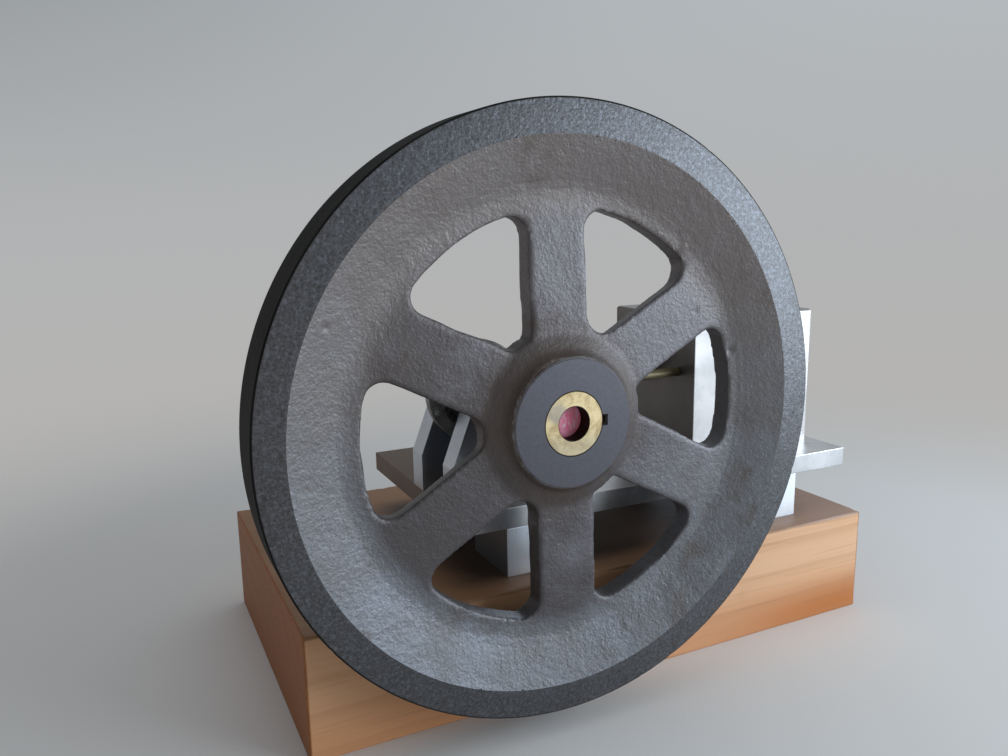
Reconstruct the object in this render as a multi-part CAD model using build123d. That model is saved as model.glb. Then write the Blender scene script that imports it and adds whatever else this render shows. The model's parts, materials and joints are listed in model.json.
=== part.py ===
"""Model stationary steam engine on a timber block.

Millimetres, +Z up.  The origin is the centre of the timber block's underside,
+X runs along the block towards the cylinder, and the flywheel overhangs the
front of the block, on the -Y side.  The crankshaft lies along Y.
"""
import math
import os

from build123d import *

# Timber block
BASE_L = 250.0
BASE_W = 136.0
BASE_H = 45.0
BASE_EDGE = 1.2
# Posts and bed plate
POST = 30.0
POST_H = 19.0
POST_INSET_LEFT = 19.5
POST_INSET_RIGHT = 28.5
PLATE_L = 190.5
PLATE_W = 97.0
PLATE_T = 8.0
PLATE_SET_BACK = 11.0
# Crankshaft axis
SHAFT_R = 5.7
SHAFT_H = 39.0
SHAFT_FROM_LEFT = 27.0
RUN_FIT = 0.05
# Flywheel casting
WHEEL_R = 102.0
RIM_W = 18.7
WHEEL_GAP = 5.3
BAND_W = 11.0
RIDGE_PROUD = 1.5
DISH_W = 17.0
DISH_OFF_X = -2.1
DISH_OFF_Z = -0.1
WEB_SET = 5.2
HUB_R = 21.4
HUB_ROOT_R = 23.5
HUB_PROUD = 1.0
HUB_ROOT = 6.0
RIM_TO_HOLE = 4.6
HOLE_APEX_FILLET = 7.0
HOLE_RIM_FILLET = 6.0
WHEEL_BUSH_R = 10.75
KEYWAY_W = 3.8
KEYWAY_DEPTH = 2.0
SHAFT_RECESS = 5.5
# Each spoke as cast: its direction in degrees, its centre line's shift off the axle, its width
SPOKES = (
    (30.0, 4.3, 21.8),
    (92.5, -0.1, 20.4),
    (152.5, -0.1, 22.4),
    (211.5, 0.8, 22.2),
    (271.0, 0.2, 21.6),
    (332.0, 1.3, 22.8),
)
# Bearing pedestals
PED_T = 10.0
NEAR_PED_HALF = 24.5
FAR_PED_HALF = 27.5
PED_KNEE = 14.4
PED_ABOVE = 14.0
PED_LEAN = 2.6
NEAR_PED_SET = 9.5
FAR_PED_SET = 34.0
BUSH_R = 8.0
BUSH_PROUD = 0.5
# Eccentric and valve rod
ECC_THROW = 5.5
SHEAVE_R = 15.5
STRAP_R = 20.2
STRAP_T = 4.0
STRAP_TO_PED = 1.2
SHEAVE_LIP = 0.2
SHEAVE_BOSS_R = 8.5
SHEAVE_BOSS = 6.0
VALVE_ROD_R = 2.0
VALVE_DROP = 2.0
ECC_ROD_L = 58.0
ECC_ROD_R = 4.5
VALVE_IN_BLOCK = 14.0
# Crank, connecting rod and piston rod
CRANK_R = 12.0
CRANK_DISC_R = 17.0
CRANK_DISC_T = 6.0
CRANK_PIN_R = 3.0
CRANK_GAP = 0.5
ROD_L = 52.0
BIG_END_R = 7.0
SMALL_END_R = 5.0
ROD_DISC_GAP = 0.8
PISTON_ROD_R = 2.5
PISTON_IN_BLOCK = 16.0
GLAND_R = 10.0
GLAND_T = 4.0
GLAND_NUT_R = 6.5
GLAND_NUT = 8.0
FORK_GAP = 0.4
CHEEK_T = 1.7
CHEEK_ROOT = 3.0
EYE_EXTRA = 2.0
PIN_HEAD = 2.0
PIN_BOSS = 0.6
BORE_SPARE = 2.0
# Cylinder block
CYL_L = 66.0
CYL_W = 60.0
CYL_H = 62.0
CYL_FROM_RIGHT = 5.0
CYL_SET = 19.0
CYL_EDGE = 0.8

# Positions that follow from the sizes above
RIDGE_R = WHEEL_R - BAND_W
DISH_R = RIDGE_R - DISH_W
HOLE_R = DISH_R - RIM_TO_HOLE
BASE_FRONT = -BASE_W / 2
PLATE_X1 = BASE_L / 2
PLATE_X0 = PLATE_X1 - PLATE_L
PLATE_Y0 = BASE_FRONT + PLATE_SET_BACK
PLATE_Y1 = PLATE_Y0 + PLATE_W
PLATE_Z = BASE_H + POST_H
BED_Z = PLATE_Z + PLATE_T
SHAFT_X = PLATE_X0 + SHAFT_FROM_LEFT
SHAFT_Z = BED_Z + SHAFT_H
WHEEL_Y = BASE_FRONT - WHEEL_GAP - RIM_W
NEAR_PED_Y = PLATE_Y0 + NEAR_PED_SET
FAR_PED_Y = PLATE_Y0 + FAR_PED_SET
STRAP_Y = FAR_PED_Y - STRAP_TO_PED - STRAP_T
VALVE_Y = STRAP_Y + STRAP_T / 2
VALVE_Z = SHAFT_Z - VALVE_DROP
ECC_X = SHAFT_X - ECC_THROW
VALVE_X = ECC_X + math.sqrt(ECC_ROD_L**2 - VALVE_DROP**2)
VALVE_TRAVEL = 2 * ECC_THROW
DISC_Y = FAR_PED_Y + PED_T + BUSH_PROUD + CRANK_GAP
ROD_HALF = PISTON_ROD_R + FORK_GAP + CHEEK_T
PISTON_Y = DISC_Y + CRANK_DISC_T + ROD_DISC_GAP + ROD_HALF
PIN_Z = SHAFT_Z - CRANK_R
PISTON_X = SHAFT_X + math.sqrt(ROD_L**2 - CRANK_R**2)
PISTON_IN = SHAFT_X + ROD_L + CRANK_R - PISTON_X
CYL_X1 = PLATE_X1 - CYL_FROM_RIGHT
CYL_X0 = CYL_X1 - CYL_L
CYL_Y0 = PLATE_Y0 + CYL_SET


def box(x0, x1, y0, y1, z0, z1):
    """Block between two corners."""
    return Pos((x0 + x1) / 2, (y0 + y1) / 2, (z0 + z1) / 2) * Box(x1 - x0, y1 - y0, z1 - z0)


def disc(r, x, z, y0, y1):
    """Round piece with its axis along Y."""
    return Pos(x, (y0 + y1) / 2, z) * Rot(X=-90) * Cylinder(r, y1 - y0)


def bar(r, y, z, x0, x1):
    """Round piece with its axis along X."""
    return Pos((x0 + x1) / 2, y, z) * Rot(Y=90) * Cylinder(r, x1 - x0)


def plate(points, y0, y1):
    """Flat outline in X and Z, made thick along Y."""
    face = make_face(Polyline(*[(x, 0, z) for x, z in points], close=True))
    return Pos(0, y0, 0) * extrude(face, amount=y1 - y0, dir=(0, 1, 0))


def link(x0, z0, r0, x1, z1, r1, y0, y1):
    """Strap with two round ends and straight tangent sides."""
    turn = math.degrees(math.atan2(z1 - z0, x1 - x0))
    span = math.hypot(x1 - x0, z1 - z0)
    lean = math.acos((r0 - r1) / span)
    c, s = math.cos(lean), math.sin(lean)
    side = [(r0 * c, r0 * s), (span + r1 * c, r1 * s), (span + r1 * c, -r1 * s), (r0 * c, -r0 * s)]
    solid = plate(side, y0, y1) + disc(r0, 0, 0, y0, y1) + disc(r1, span, 0, y0, y1)
    return Pos(x0, 0, z0) * Rot(Y=-turn) * solid


def corners(sketch, low, high):
    """Corners of a flat sketch between two distances from its centre line."""
    return [v for v in sketch.vertices() if low <= math.hypot(v.X, v.Y) <= high]


def spin(points):
    """Solid of revolution about Z from radius and height points."""
    return revolve(make_face(Polyline(*[(r, 0, h) for r, h in points], close=True)), axis=Axis.Z)


def dish():
    """Cutter for the hollow between the rim's ridge and the web."""
    rise = (WEB_SET + RIDGE_PROUD) / (RIDGE_R - DISH_R)
    far = RIDGE_R + RIM_W
    top = WEB_SET - rise * (far - DISH_R)
    return spin([(0, top), (far, top), (DISH_R, WEB_SET), (0, WEB_SET)])


def flywheel():
    """Cast wheel with a machined rim band, an off-centre dished web and six spokes."""
    front = [(0, -2 * RIDGE_PROUD), (2 * RIDGE_R - WHEEL_R, -2 * RIDGE_PROUD), (WHEEL_R, 0)]
    wheel = spin(front + [(r, RIM_W - h) for r, h in reversed(front)])
    hollow = Pos(DISH_OFF_X, -DISH_OFF_Z, 0) * dish()
    wheel -= hollow
    wheel -= Pos(0, 0, RIM_W) * mirror(hollow, about=Plane.XY)
    holes = Sketch() + Circle(HOLE_R)
    for turn, shift, width in SPOKES:
        holes -= Rot(Z=-turn) * Pos(WHEEL_R / 2, -shift) * Rectangle(WHEEL_R, width)
    holes = fillet(corners(holes, 0, HOLE_R / 2), HOLE_APEX_FILLET)
    holes = fillet(corners(holes, HOLE_R - 0.01, HOLE_R + 0.01), HOLE_RIM_FILLET)
    wheel -= Pos(0, 0, -RIM_W) * extrude(holes, amount=3 * RIM_W, dir=(0, 0, 1))
    hub = [(0, -HUB_PROUD), (HUB_R, -HUB_PROUD)]
    hub += [(HUB_ROOT_R, WEB_SET - HUB_ROOT / 2), (HUB_ROOT_R + HUB_ROOT, WEB_SET)]
    wheel += spin(hub + [(r, RIM_W - h) for r, h in reversed(hub)])
    bore = Cylinder(WHEEL_BUSH_R, 6 * RIM_W)
    from_axle = (Align.MIN, Align.CENTER, Align.CENTER)
    slot = Box(WHEEL_BUSH_R + KEYWAY_DEPTH, KEYWAY_W, 6 * RIM_W, align=from_axle)
    wheel -= bore + slot
    return Pos(SHAFT_X, WHEEL_Y, SHAFT_Z) * Rot(X=-90) * wheel


def pedestal(y, wide):
    """Sawn plate stand with sloping shoulders and a bored seat for its bush."""
    knee = BED_Z + PED_KNEE
    top = SHAFT_Z + PED_ABOVE
    half = [(wide, BED_Z), (wide, knee), (wide - (top - knee) / PED_LEAN, top)]
    outline = [(SHAFT_X + x, z) for x, z in half] + [(SHAFT_X - x, z) for x, z in reversed(half)]
    return plate(outline, y, y + PED_T) - disc(BUSH_R, SHAFT_X, SHAFT_Z, y - 1, y + PED_T + 1)


def ring(outer, inner, x, z, y0, y1):
    """Tube along Y."""
    return disc(outer, x, z, y0, y1) - disc(inner, x, z, y0 - 1, y1 + 1)


def fork(x0, z0, r0, x1, z1, r1, y, gap, root):
    """Two cheeks beside a rod, joined by a solid root near the first end."""
    half = gap + CHEEK_T
    solid = link(x0, z0, r0, x1, z1, r1, y - half, y + half)
    turn = math.degrees(math.atan2(z1 - z0, x1 - x0))
    span = math.hypot(x1 - x0, z1 - z0)
    slot = box(root, span + 2 * r1, y - gap, y + gap, -4 * r0, 4 * r0)
    return solid - Pos(x0, 0, z0) * Rot(Y=-turn) * slot


def pin_heads(x, z, y, half, r):
    """Heads of a pivot pin, one on the outside of each cheek."""
    heads = disc(r, x, z, y - half - PIN_BOSS, y - half)
    return heads + disc(r, x, z, y + half, y + half + PIN_BOSS)


def eye_end(x, y, z, rod_r, x1):
    """Round rod with a flat-sided eye at its left end."""
    return bar(rod_r, y, z, x, x1) + disc(rod_r + EYE_EXTRA, x, z, y - rod_r, y + rod_r)


def build():
    """Every named piece, in place."""
    parts = {}
    block = box(-BASE_L / 2, BASE_L / 2, BASE_FRONT, -BASE_FRONT, 0, BASE_H)
    upper = block.edges().group_by(Axis.Z)[-1]
    parts["timber_base"] = chamfer(upper, BASE_EDGE)

    left = PLATE_X0 + POST_INSET_LEFT
    right = PLATE_X1 - POST_INSET_RIGHT - POST
    for side, x in (("left", left), ("right", right)):
        for row, y in (("front", PLATE_Y0), ("rear", PLATE_Y1 - POST)):
            parts[row + "_" + side + "_post"] = box(x, x + POST, y, y + POST, BASE_H, PLATE_Z)
    parts["bed_plate"] = box(PLATE_X0, PLATE_X1, PLATE_Y0, PLATE_Y1, PLATE_Z, BED_Z)

    for name, y, wide in (("near", NEAR_PED_Y, NEAR_PED_HALF), ("far", FAR_PED_Y, FAR_PED_HALF)):
        parts[name + "_pedestal"] = pedestal(y, wide)
        y0 = y - BUSH_PROUD if name == "near" else y
        y1 = y + PED_T + BUSH_PROUD
        parts[name + "_bearing_bush"] = ring(BUSH_R, SHAFT_R + RUN_FIT, SHAFT_X, SHAFT_Z, y0, y1)

    parts["flywheel"] = flywheel()
    hub_front = WHEEL_Y - HUB_PROUD
    hub_back = WHEEL_Y + RIM_W + HUB_PROUD
    parts["flywheel_bush"] = ring(WHEEL_BUSH_R, SHAFT_R, SHAFT_X, SHAFT_Z, hub_front, hub_back)
    parts["crankshaft"] = disc(SHAFT_R, SHAFT_X, SHAFT_Z, hub_front + SHAFT_RECESS, DISC_Y + CRANK_DISC_T)

    sheave = disc(SHEAVE_R, ECC_X, SHAFT_Z, STRAP_Y - SHEAVE_LIP, STRAP_Y + STRAP_T + SHEAVE_LIP)
    sheave += disc(SHEAVE_BOSS_R, SHAFT_X, SHAFT_Z, STRAP_Y - SHEAVE_BOSS, STRAP_Y)
    bore = disc(SHAFT_R, SHAFT_X, SHAFT_Z, STRAP_Y - 2 * SHEAVE_BOSS, STRAP_Y + 2 * STRAP_T)
    parts["eccentric_sheave"] = sheave - bore
    strap_bore = SHEAVE_R + RUN_FIT
    parts["eccentric_strap"] = ring(STRAP_R, strap_bore, ECC_X, SHAFT_Z, STRAP_Y, STRAP_Y + STRAP_T)

    valve_gap = VALVE_ROD_R + FORK_GAP
    root = ECC_ROD_L - VALVE_ROD_R - EYE_EXTRA - VALVE_TRAVEL - 2 * FORK_GAP
    rod = fork(ECC_X, SHAFT_Z, ECC_ROD_R, VALVE_X, VALVE_Z, ECC_ROD_R, VALVE_Y, valve_gap, root)
    bare_end = ECC_X + root - CHEEK_ROOT
    bare = box(ECC_X - STRAP_R, bare_end, VALVE_Y - STRAP_R, VALVE_Y + STRAP_R, 0, 2 * SHAFT_Z)
    flat = box(ECC_X, ECC_X + root, STRAP_Y, STRAP_Y + STRAP_T, 0, 2 * SHAFT_Z)
    rod -= bare - flat
    rod -= disc(STRAP_R, ECC_X, SHAFT_Z, VALVE_Y - STRAP_R, VALVE_Y + STRAP_R)
    parts["eccentric_rod"] = rod + pin_heads(VALVE_X, VALVE_Z, VALVE_Y, valve_gap + CHEEK_T, VALVE_ROD_R)
    inner = CYL_X0 + VALVE_IN_BLOCK
    parts["valve_rod"] = eye_end(VALVE_X, VALVE_Y, VALVE_Z, VALVE_ROD_R, inner)

    crank = disc(CRANK_DISC_R, SHAFT_X, SHAFT_Z, DISC_Y, DISC_Y + CRANK_DISC_T)
    crank -= disc(SHAFT_R, SHAFT_X, SHAFT_Z, DISC_Y - 1, DISC_Y + CRANK_DISC_T + 1)
    crank -= disc(CRANK_PIN_R, SHAFT_X, PIN_Z, DISC_Y - 1, DISC_Y + CRANK_DISC_T + 1)
    parts["crank_disc"] = crank
    pin_end = PISTON_Y + ROD_HALF + CRANK_GAP
    pin = disc(CRANK_PIN_R, SHAFT_X, PIN_Z, DISC_Y, pin_end)
    pin += disc(CRANK_PIN_R + PIN_HEAD, SHAFT_X, PIN_Z, pin_end, pin_end + PIN_HEAD)
    parts["crank_pin"] = pin

    piston_gap = PISTON_ROD_R + FORK_GAP
    root = BIG_END_R + CHEEK_ROOT
    con = fork(SHAFT_X, PIN_Z, BIG_END_R, PISTON_X, SHAFT_Z, SMALL_END_R, PISTON_Y, piston_gap, root)
    con -= disc(CRANK_PIN_R + RUN_FIT, SHAFT_X, PIN_Z, PISTON_Y - 2 * ROD_HALF, PISTON_Y + 2 * ROD_HALF)
    parts["connecting_rod"] = con + pin_heads(PISTON_X, SHAFT_Z, PISTON_Y, ROD_HALF, PISTON_ROD_R)
    inner = CYL_X0 + PISTON_IN_BLOCK
    parts["piston_rod"] = eye_end(PISTON_X, PISTON_Y, SHAFT_Z, PISTON_ROD_R, inner)

    gland = bar(GLAND_R, PISTON_Y, SHAFT_Z, CYL_X0 - GLAND_T, CYL_X0)
    nut_end = CYL_X0 - GLAND_T - GLAND_NUT
    hexagon = extrude(RegularPolygon(GLAND_NUT_R, 6), GLAND_NUT)
    gland += Pos(nut_end, PISTON_Y, SHAFT_Z) * Rot(Y=90) * hexagon
    run = PISTON_ROD_R + RUN_FIT
    gland -= bar(run, PISTON_Y, SHAFT_Z, nut_end - 1, CYL_X0 + 1)
    parts["piston_gland"] = gland

    cyl = box(CYL_X0, CYL_X1, CYL_Y0, CYL_Y0 + CYL_W, BED_Z, BED_Z + CYL_H)
    cyl = chamfer(cyl.edges().group_by(Axis.Z)[-1], CYL_EDGE)
    deep = CYL_X0 + PISTON_IN_BLOCK + PISTON_IN + BORE_SPARE
    cyl -= bar(run, PISTON_Y, SHAFT_Z, CYL_X0 - 1, deep)
    deep = CYL_X0 + VALVE_IN_BLOCK + VALVE_TRAVEL + BORE_SPARE
    cyl -= bar(VALVE_ROD_R + RUN_FIT, VALVE_Y, VALVE_Z, CYL_X0 - 1, deep)
    parts["cylinder_block"] = cyl
    return parts


os.makedirs("parts", exist_ok=True)
for node, solid in build().items():
    export_step(solid, "parts/" + node + ".step")
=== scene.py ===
import json
import math
from contextlib import contextmanager

import bmesh
import bpy
import numpy as np
from mathutils import Matrix, Vector, noise


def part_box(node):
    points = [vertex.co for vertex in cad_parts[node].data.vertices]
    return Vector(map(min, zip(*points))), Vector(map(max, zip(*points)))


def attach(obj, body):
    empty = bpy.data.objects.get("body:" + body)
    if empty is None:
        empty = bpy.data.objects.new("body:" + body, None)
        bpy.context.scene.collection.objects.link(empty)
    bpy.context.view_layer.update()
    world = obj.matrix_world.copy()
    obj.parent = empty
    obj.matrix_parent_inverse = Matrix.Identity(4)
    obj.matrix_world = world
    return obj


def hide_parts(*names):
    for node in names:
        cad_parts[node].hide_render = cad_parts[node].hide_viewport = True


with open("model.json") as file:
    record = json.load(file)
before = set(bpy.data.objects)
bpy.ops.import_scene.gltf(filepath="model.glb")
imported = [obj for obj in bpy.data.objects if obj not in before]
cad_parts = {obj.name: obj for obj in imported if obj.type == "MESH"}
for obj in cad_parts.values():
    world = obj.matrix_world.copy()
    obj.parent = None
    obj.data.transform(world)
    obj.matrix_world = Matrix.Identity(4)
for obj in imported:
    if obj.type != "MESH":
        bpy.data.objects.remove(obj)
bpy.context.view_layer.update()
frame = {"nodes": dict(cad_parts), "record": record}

MM = 0.001
NODES = frame["nodes"]
FRAME_BODY = "engine_frame"
CRANK_BODY = "crankshaft_set"
ECCENTRIC_BODY = "eccentric_link"

# Sizes of the wheel in millimetres; a half is measured from its middle plane
WHEEL_R = 102.0
RIM_HALF = 9.35
RIDGE_R = 91.0
RIDGE_PROUD = 1.5
DISH_R = 74.0
WEB_HALF = 4.15
HOLE_R = 69.4
HUB_ROOT_R = 29.5
HUB_R = 21.4
HUB_HALF = 10.35
HUB_FLARE = 0.656
BORE_R = 10.75
SHAFT_R = 5.7
KEYWAY_HALF = 1.9
KEYWAY_DEPTH = 2.0
DISH_OFF_X = -2.1
DISH_OFF_Z = -0.1
BAND_FALL = RIDGE_PROUD / (WHEEL_R - RIDGE_R)
DISH_RISE = (RIM_HALF + RIDGE_PROUD - WEB_HALF) / (RIDGE_R - DISH_R)
WHEEL_VOXEL = 0.95

# How far the cast skin is drawn in under the turned faces, in millimetres
SUNK_BAND = 3.0
SUNK_TREAD = 1.0
SUNK_HUB = 0.6
# A point of the cast skin this near to the ridge is put on it
RIDGE_SNAP = 0.48
# Points of a mesh this near to each other are merged
MEND_GAP = 0.03

# The turned faces in millimetres: their lap over the cast skin, and how far their edges are broken
RIM_LAP = 1.2
RIM_LAP_SUNK = 0.12
RIM_BREAK = 0.45
TREAD_BREAK = 0.4
NICK_DEPTH = 0.35
HUB_LAP = 1.6
HUB_BREAK = 0.15
BORE_BREAK = 0.12

# Casting flaws on the wheel's front: across, up, radius and rise, in millimetres from the axle
FLAWS = (
    (69.0, 17.7, 2.4, -0.9),
    (53.1, 32.7, 1.5, -0.6),
    (50.2, 28.9, 1.0, -0.4),
    (-78.9, 36.8, 1.6, -0.6),
    (32.8, 8.1, 1.6, -0.9),
    (47.2, 55.2, 1.4, 0.6),
    (1.2, -73.8, 1.2, 0.5),
    (23.6, -77.3, 1.2, 0.5),
    (-82.2, -42.4, 1.4, 0.5),
    (62.6, 17.5, 3.0, -0.8),
)

# Uneven spoke sides: turn in degrees, side, wall's distance from the axle's line, start and end
# along the spoke, and how far the wall moves out at the front and at the back
UNEVEN = (
    (30.0, 1, 15.2, 16.0, 72.0, 0.0, -1.9),
    (152.5, -1, 11.3, 10.0, 52.0, 1.2, 1.2),
    (211.5, -1, 10.3, 16.0, 74.0, 0.0, -1.9),
)

# The strap's screw in millimetres, and how far its slot is turned in degrees
SCREW_X = -61.3
SCREW_Z = 104.3
SCREW_R = 1.1
SCREW_FLOOR = 0.12
SCREW_RISE = 0.42
SCREW_SLOT = 0.2
SCREW_TURN = 35.0
COLLAR_R = 2.0
COLLAR_RISE = 0.45
COLLAR_GAP = 0.1

# The timber base: rows of points in from its edges and their pitch between, in millimetres, the heart
# of the tree in metres and the width of a growth ring in millimetres
BASE_ROWS = (0.0, 0.4, 0.9, 1.5, 2.4, 3.6, 5.5)
BASE_PITCH = 3.0
TIMBER_HEART = (0, 0.070, -0.210)
RING_PITCH = 11.0

FLOOR_R = 4.0

# The photograph's camera
CAMERA_AT = (-0.17369, -0.32038, 0.17707)
CAMERA_HEADING = 25.829
CAMERA_TILT = -10.852
CAMERA_ROLL = -0.934
CAMERA_LENS = 29.854


def middle(node):
    low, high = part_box(node)
    return (low + high) / 2


AXLE = middle("flywheel_bush")
WHEEL_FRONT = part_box("flywheel_bush")[0].y


class Graph:
    """A node tree, with one short call for each kind of node."""

    def __init__(self, owner):
        owner.use_nodes = True
        self.owner = owner
        self.tree = owner.node_tree
        self.place = self.add("ShaderNodeTexCoord").outputs["Object"]

    def add(self, kind, **settings):
        node = self.tree.nodes.new(kind)
        for key, value in settings.items():
            setattr(node, key, value)
        return node

    def put(self, socket, value):
        if isinstance(value, bpy.types.NodeSocket):
            self.tree.links.new(value, socket)
        else:
            socket.default_value = value

    def set(self, **values):
        """Sets the shader's sockets, by name with underscores for spaces."""
        shader = self.tree.nodes["Principled BSDF"]
        for key, value in values.items():
            self.put(shader.inputs[key.replace("_", " ")], value)
        return self.owner

    def made(self, name):
        """What feeds a socket of the shader so far."""
        return self.tree.nodes["Principled BSDF"].inputs[name].links[0].from_socket

    def math(self, operation, a, b=0.0):
        node = self.add("ShaderNodeMath", operation=operation)
        self.put(node.inputs[0], a)
        self.put(node.inputs[1], b)
        return node.outputs[0]

    def vector(self, operation, a, b=(0, 0, 0)):
        node = self.add("ShaderNodeVectorMath", operation=operation)
        self.put(node.inputs[0], a)
        self.put(node.inputs[1], b)
        return node.outputs["Value" if operation in ("LENGTH", "DOT_PRODUCT") else "Vector"]

    def stretch(self, x, y, z):
        """The place, scaled along each axis, for streaks."""
        return self.vector("MULTIPLY", self.place, (x, y, z))

    def noise(self, scale, detail=4.0, rough=0.55, where=None, warp=0.0):
        node = self.add("ShaderNodeTexNoise")
        self.put(node.inputs["Vector"], self.place if where is None else where)
        node.inputs["Scale"].default_value = scale
        node.inputs["Detail"].default_value = detail
        node.inputs["Roughness"].default_value = rough
        node.inputs["Distortion"].default_value = warp
        return node.outputs["Fac"]

    def cells(self, scale):
        node = self.add("ShaderNodeTexVoronoi")
        self.put(node.inputs["Vector"], self.place)
        node.inputs["Scale"].default_value = scale
        return node.outputs["Distance"]

    def span(self, value, low, high, to_low=0.0, to_high=1.0):
        """The value eased from one range to another, clamped."""
        node = self.add("ShaderNodeMapRange", interpolation_type="SMOOTHSTEP")
        for socket, item in zip(node.inputs, (value, low, high, to_low, to_high)):
            self.put(socket, item)
        return node.outputs[0]

    def mix(self, amount, a, b):
        """One colour faded into another."""
        node = self.add("ShaderNodeMix", data_type="RGBA")
        self.put(node.inputs[0], amount)
        self.put(node.inputs[6], a if isinstance(a, bpy.types.NodeSocket) else (*a, 1))
        self.put(node.inputs[7], b if isinstance(b, bpy.types.NodeSocket) else (*b, 1))
        return node.outputs[2]

    def blend(self, amount, a, b):
        """One number faded into another."""
        node = self.add("ShaderNodeMix", data_type="FLOAT")
        self.put(node.inputs[0], amount)
        self.put(node.inputs[2], a)
        self.put(node.inputs[3], b)
        return node.outputs[0]

    def bump(self, height, depth, under=None):
        """Raises the surface by the height times a depth in millimetres."""
        node = self.add("ShaderNodeBump")
        node.inputs["Strength"].default_value = 1.0
        node.inputs["Distance"].default_value = depth * MM
        self.put(node.inputs["Height"], height)
        if under is not None:
            self.put(node.inputs["Normal"], under)
        return node.outputs["Normal"]

    def radius(self, centre, keep):
        """Distance from an axis in millimetres; keep holds 1 for each axis across it."""
        flat = self.vector("MULTIPLY", self.vector("SUBTRACT", self.place, centre), keep)
        return self.math("MULTIPLY", self.vector("LENGTH", flat), 1 / MM)

    def from_axle(self, off_x=0.0, off_z=0.0):
        """Distance in millimetres from the axle, or from a line beside it."""
        return self.radius((AXLE.x + off_x * MM, 0, AXLE.z + off_z * MM), (1, 0, 1))

    def rings(self, radius, pitch):
        """Turning marks: noise that changes quickly with radius and slowly round it."""
        join = self.add("ShaderNodeCombineXYZ")
        self.put(join.inputs[0], self.math("MULTIPLY", radius, 1 / pitch))
        self.put(join.inputs[1], self.math("MULTIPLY", self.noise(14, 1.0), 0.5))
        return self.noise(1.0, 3.0, 0.6, where=join.outputs[0])

    def axis(self, name):
        split = self.add("ShaderNodeSeparateXYZ")
        self.put(split.inputs[0], self.place)
        return split.outputs[name]

    def facing(self, x, y, z):
        """How far the surface faces a direction, from -1 to 1."""
        normal = self.add("ShaderNodeNewGeometry").outputs["Normal"]
        return self.vector("DOT_PRODUCT", normal, (x, y, z))

    def pointed(self):
        """Above a half on outer edges, below a half in corners."""
        return self.add("ShaderNodeNewGeometry").outputs["Pointiness"]


def material(name):
    return Graph(bpy.data.materials.new(name))


def cast_colour(g, from_axle, from_dish, sand, patch):
    """The rough web and dish and how rusty each place is: browner by the hub, where the rusty brown is
    also darkened as painted shade in the hub's root, and, as painted light, the web lighter towards
    the right and the top, the dish slope lighter and bluer, and the top browner and lighter.
    """
    brown = g.noise(26, 4.0, 0.65)
    # Painted shade, in part: the rusty brown round the hub's root is also darkened as shade in that
    # corner
    near_hub = g.span(from_axle, HUB_ROOT_R + 8, HUB_R)
    rust_and_shade = g.math("MULTIPLY", near_hub, g.span(brown, 0.30, 0.60, 0.45, 1.0))
    rust_and_shade = g.math("MAXIMUM", rust_and_shade, g.span(brown, 0.55, 0.75))
    # Painted light: the web's tone is made lighter towards the right and the top, where the light
    # comes from
    lit_side = g.vector("DOT_PRODUCT", g.vector("SUBTRACT", g.place, AXLE), (3.6, 0.0, 1.7))
    tone = g.span(g.math("ADD", patch, lit_side), 0.3, 0.7)
    web = g.mix(tone, (0.092, 0.081, 0.083), (0.168, 0.160, 0.173))
    # Painted light: the dish's slope takes a lighter, bluer copy of the iron, standing for the light
    # and bluish sheen it catches
    slope = g.mix(g.span(patch, 0.3, 0.7), (0.146, 0.143, 0.148), (0.182, 0.188, 0.208))
    iron = g.mix(g.span(from_dish, HOLE_R - 4, HOLE_R + 4), web, slope)
    iron = g.mix(g.span(sand, 0.30, 0.70, 0.30, 0.0), iron, (0.07, 0.062, 0.062))
    # Painted light: the top of the wheel, most of all its dish, is made browner and lighter as if lit
    # from above
    height = g.math("SUBTRACT", g.axis("Z"), AXLE.z - 45 * MM)
    warm_lit_top = g.span(g.math("ADD", height, g.math("MULTIPLY", brown, 0.06)), 0.03, 0.14)
    warm_lit_top = g.math("MULTIPLY", warm_lit_top, g.span(from_dish, HOLE_R - 8, HOLE_R + 5, 0.15, 0.68))
    iron = g.mix(warm_lit_top, iron, (0.186, 0.152, 0.138))
    iron = g.mix(g.math("MULTIPLY", rust_and_shade, 0.80), iron, (0.072, 0.045, 0.030))
    return iron, rust_and_shade


def band_colour(g, rings, sand, grit, patch):
    """The turned band: bright grain between dark pores."""
    colour = g.mix(g.span(rings, 0.25, 0.75), (0.100, 0.098, 0.102), (0.128, 0.128, 0.136))
    colour = g.mix(g.span(patch, 0.40, 0.75, 0.0, 0.30), colour, (0.070, 0.066, 0.068))
    colour = g.mix(g.span(grit, 0.30, 0.60, 0.0, 0.22), colour, (0.165, 0.168, 0.182))
    grain = g.noise(850, 3.0, 0.6)
    colour = g.mix(g.span(grain, 0.45, 0.66, 0.0, 0.62), colour, (0.200, 0.208, 0.234))
    return g.mix(g.span(sand, 0.30, 0.60, 0.60, 0.0), colour, (0.055, 0.049, 0.047))


def hub_colour(g, from_axle, rings, sand):
    """The hub's turned faces: fine rings, a few scratches and a dark seam round the bush."""
    colour = g.mix(g.span(rings, 0.2, 0.8), (0.102, 0.099, 0.113), (0.113, 0.111, 0.127))
    colour = g.mix(g.span(sand, 0.35, 0.65, 0.30, 0.0), colour, (0.064, 0.062, 0.070))
    scratch = g.noise(420, 2.0, 0.7, where=g.stretch(1.0, 1.0, 0.07), warp=0.4)
    colour = g.mix(g.span(scratch, 0.68, 0.76, 0.0, 0.20), colour, (0.20, 0.20, 0.23))
    seam = g.span(from_axle, BORE_R + 0.35, BORE_R + 0.15)
    return g.mix(seam, colour, (0.030, 0.026, 0.024))


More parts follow.
